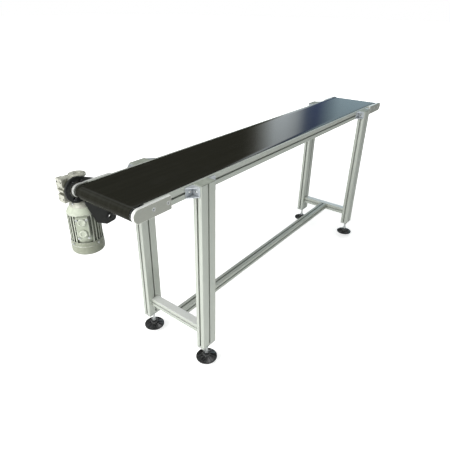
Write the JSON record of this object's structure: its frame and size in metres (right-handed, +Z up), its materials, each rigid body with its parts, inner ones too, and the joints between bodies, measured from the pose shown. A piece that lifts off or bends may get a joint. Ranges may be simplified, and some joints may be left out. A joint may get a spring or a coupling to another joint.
{
  "type": "belt conveyor section",
  "caption": "Flat belt conveyor on profile legs with levelling feet; a worm gear motor hangs at the drive end.",
  "frame": {"origin": "middle of the belt carrying face, on its surface", "axes": "+X from the drive end to the tail end, +Y to the gear motor side, +Z up"},
  "size_m": [2.153, 0.4851, 0.873],
  "materials": {
    "profile_aluminium": "natural anodised, satin",
    "plate_aluminium": "natural anodised, fine milled edge",
    "bracket_aluminium": "die cast, tumbled",
    "base_plate_aluminium": "natural anodised",
    "cap_plastic": "fine grain",
    "belt_rubber": "matt, fine fabric impression",
    "zinc_steel": "bright zinc plated",
    "sheet_steel": "cold rolled, galvanised",
    "machined_steel": "turned and ground",
    "bearing_steel": "ground, sealed faces",
    "black_painted_steel": "semi-gloss powder coat",
    "black_oxide_steel": "black oxide",
    "gearbox_casting": "die cast, as cast",
    "seal_rubber": "moulded",
    "wheel_bronze": "machined bronze",
    "motor_casting": "die cast, pale cream paint",
    "lamination_steel": "stacked laminations",
    "cowl_paint": "pressed sheet, pale cream paint",
    "box_casting": "die cast, pale cream paint",
    "gland_plastic": "moulded, pale grey",
    "fan_plastic": "moulded",
    "foot_plastic": "glass-filled nylon, glossy"
  },
  "bodies": {
    "frame": {"side_rail_near": "profile_aluminium", "side_rail_far": "profile_aluminium", "slider_bed": "sheet_steel", "bed_cross_ties": "bracket_aluminium", "belt": "belt_rubber", "drive_end_plate_near": "plate_aluminium", "drive_end_plate_far": "plate_aluminium", "tail_end_plate_near": "plate_aluminium", "tail_end_plate_far": "plate_aluminium", "frame_cap_screws": "zinc_steel", "slot_nuts": "zinc_steel", "slot_bolts": "zinc_steel", "drive_roller_bearings": "bearing_steel", "leg_drive_near": "profile_aluminium", "leg_drive_far": "profile_aluminium", "leg_tail_near": "profile_aluminium", "leg_tail_far": "profile_aluminium", "leg_top_caps": "cap_plastic", "foot_base_plates": "base_plate_aluminium", "cross_member_drive": "profile_aluminium", "cross_member_tail": "profile_aluminium", "stretcher": "profile_aluminium", "gusset_brackets": "bracket_aluminium", "gusset_screws": "zinc_steel", "belt_tension_screws": "zinc_steel", "gearbox_mount_plate": "black_painted_steel", "mount_screws": "black_oxide_steel", "gearbox_housing": "gearbox_casting", "gearbox_side_cover": "gearbox_casting", "worm_end_cap": "gearbox_casting", "output_shaft_seals": "seal_rubber", "gearmotor_bearings": "bearing_steel", "gearmotor_screws": "zinc_steel", "motor_flange_shield": "motor_casting", "motor_housing": "motor_casting", "motor_rear_shield": "motor_casting", "stator_core": "lamination_steel", "fan_cowl": "cowl_paint", "terminal_box": "box_casting", "terminal_box_lid": "box_casting", "cable_glands": "gland_plastic"},
    "drive_roller": {"drive_roller_drum": "machined_steel", "drive_shaft": "machined_steel", "shaft_key": "machined_steel", "worm_wheel": "wheel_bronze"},
    "motor_rotor": {"worm_shaft": "machined_steel", "motor_shaft": "machined_steel", "rotor_core": "lamination_steel", "cooling_fan": "fan_plastic"},
    "take_up": {"tail_axle": "machined_steel"},
    "tail_roller": {"tail_roller_drum": "machined_steel", "tail_roller_bearings": "bearing_steel"},
    "foot_drive_near": {"foot_spindle_drive_near": "zinc_steel"},
    "pad_drive_near": {"foot_pad_drive_near": "foot_plastic"},
    "foot_drive_far": {"foot_spindle_drive_far": "zinc_steel"},
    "pad_drive_far": {"foot_pad_drive_far": "foot_plastic"},
    "foot_tail_near": {"foot_spindle_tail_near": "zinc_steel"},
    "pad_tail_near": {"foot_pad_tail_near": "foot_plastic"},
    "foot_tail_far": {"foot_spindle_tail_far": "zinc_steel"},
    "pad_tail_far": {"foot_pad_tail_far": "foot_plastic"}
  },
  "joints": [
    {"name": "motor_spin", "type": "hinge", "parent": "frame", "child": "motor_rotor", "pos_m": [-0.995, 0.2015, -0.025], "axis": [0, 0, 1], "continuous": true},
    {"name": "drive_spin", "type": "hinge", "parent": "frame", "child": "drive_roller", "pos_m": [-1.025, 0, -0.025], "axis": [0, 1, 0], "continuous": true},
    {"name": "take_up_slide", "type": "slide", "parent": "frame", "child": "take_up", "axis": [1, 0, 0], "range_m": [-0.012, 0]},
    {"name": "tail_spin", "type": "hinge", "parent": "take_up", "child": "tail_roller", "pos_m": [1.025, 0, -0.025], "axis": [0, 1, 0], "continuous": true},
    {"name": "foot_slide_drive_near", "type": "slide", "parent": "frame", "child": "foot_drive_near", "axis": [0, 0, -1], "range_m": [-0.035, 0.025], "stiffness_N_per_m": 90000},
    {"name": "pad_tilt_drive_near", "type": "hinge", "parent": "foot_drive_near", "child": "pad_drive_near", "pos_m": [-0.73, -0.17, -0.837], "axis": [0, 1, 0], "range_deg": [-10, 10]},
    {"name": "foot_slide_drive_far", "type": "slide", "parent": "frame", "child": "foot_drive_far", "axis": [0, 0, -1], "range_m": [-0.035, 0.025], "stiffness_N_per_m": 90000},
    {"name": "pad_tilt_drive_far", "type": "hinge", "parent": "foot_drive_far", "child": "pad_drive_far", "pos_m": [-0.73, 0.17, -0.837], "axis": [0, 1, 0], "range_deg": [-10, 10]},
    {"name": "foot_slide_tail_near", "type": "slide", "parent": "frame", "child": "foot_tail_near", "axis": [0, 0, -1], "range_m": [-0.035, 0.025], "stiffness_N_per_m": 90000},
    {"name": "pad_tilt_tail_near", "type": "hinge", "parent": "foot_tail_near", "child": "pad_tail_near", "pos_m": [0.77, -0.17, -0.837], "axis": [0, 1, 0], "range_deg": [-10, 10]},
    {"name": "foot_slide_tail_far", "type": "slide", "parent": "frame", "child": "foot_tail_far", "axis": [0, 0, -1], "range_m": [-0.035, 0.025], "stiffness_N_per_m": 90000},
    {"name": "pad_tilt_tail_far", "type": "hinge", "parent": "foot_tail_far", "child": "pad_tail_far", "pos_m": [0.77, 0.17, -0.837], "axis": [0, 1, 0], "range_deg": [-10, 10]}
  ],
  "couplings": [
    {"joint": "drive_spin", "follows": "motor_spin", "ratio": 0.033333},
    {"joint": "tail_spin", "follows": "motor_spin", "ratio": 0.033333}
  ]
}
